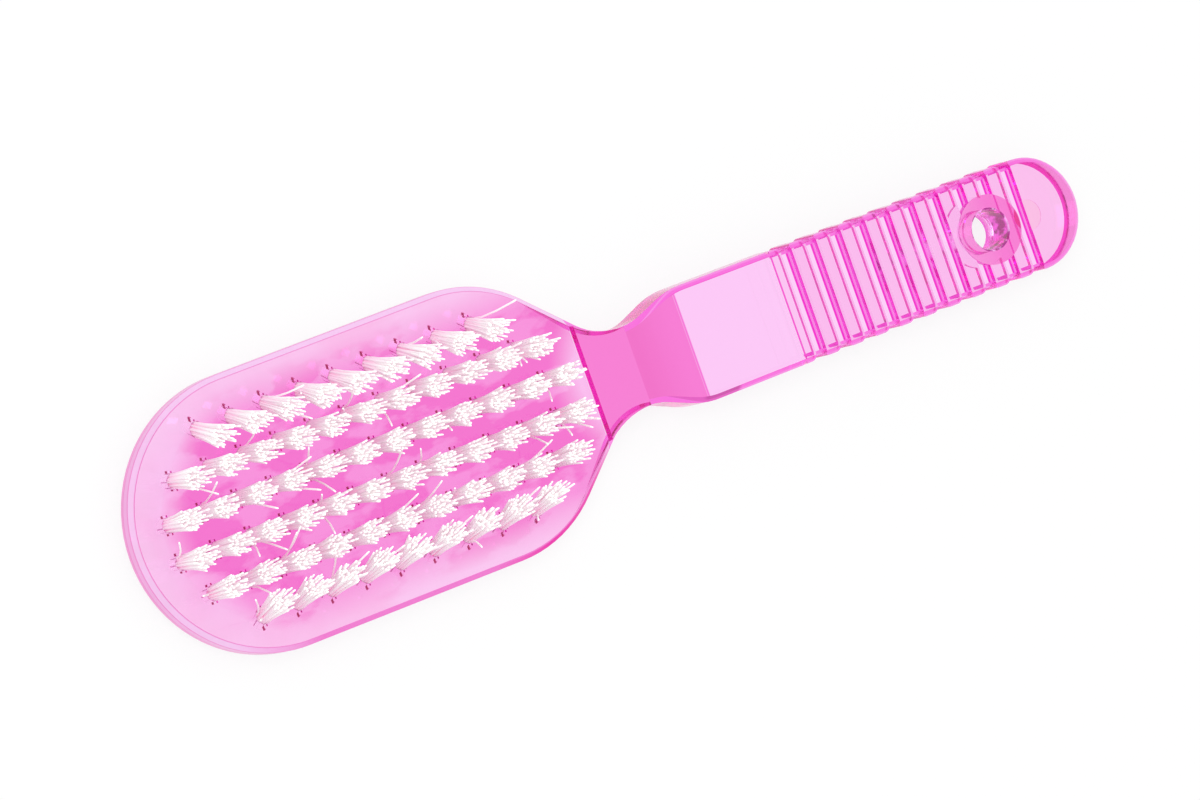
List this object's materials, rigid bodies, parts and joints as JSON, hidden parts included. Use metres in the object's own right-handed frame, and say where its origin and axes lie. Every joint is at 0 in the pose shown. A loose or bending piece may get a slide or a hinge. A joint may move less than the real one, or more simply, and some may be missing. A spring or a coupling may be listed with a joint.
{
  "type": "scalp massager brush",
  "caption": "Clear one-piece scalp brush with an oblong tufted head, a stepped neck and a ribbed handle with a ringed hang hole.",
  "frame": {"origin": "on the flat back, under the middle of the brush's bounding box", "axes": "+X from the head to the handle's end, +Y across the brush, +Z out of the bristle face"},
  "size_m": [0.23, 0.0574, 0.0176],
  "materials": {
    "clear_pink_plastic": "clear tinted, polished",
    "nylon_bristle": "translucent white filament with ground tips",
    "anchor_wire": "plain drawn wire"
  },
  "bodies": {
    "root": {"brush_body": "clear_pink_plastic", "bristle_row_1": "nylon_bristle", "anchor_row_1": "anchor_wire", "bristle_row_2": "nylon_bristle", "anchor_row_2": "anchor_wire", "bristle_row_3": "nylon_bristle", "anchor_row_3": "anchor_wire", "bristle_row_4": "nylon_bristle", "anchor_row_4": "anchor_wire", "bristle_row_5": "nylon_bristle", "anchor_row_5": "anchor_wire", "bristle_row_6": "nylon_bristle", "anchor_row_6": "anchor_wire"}
  },
  "joints": []
}
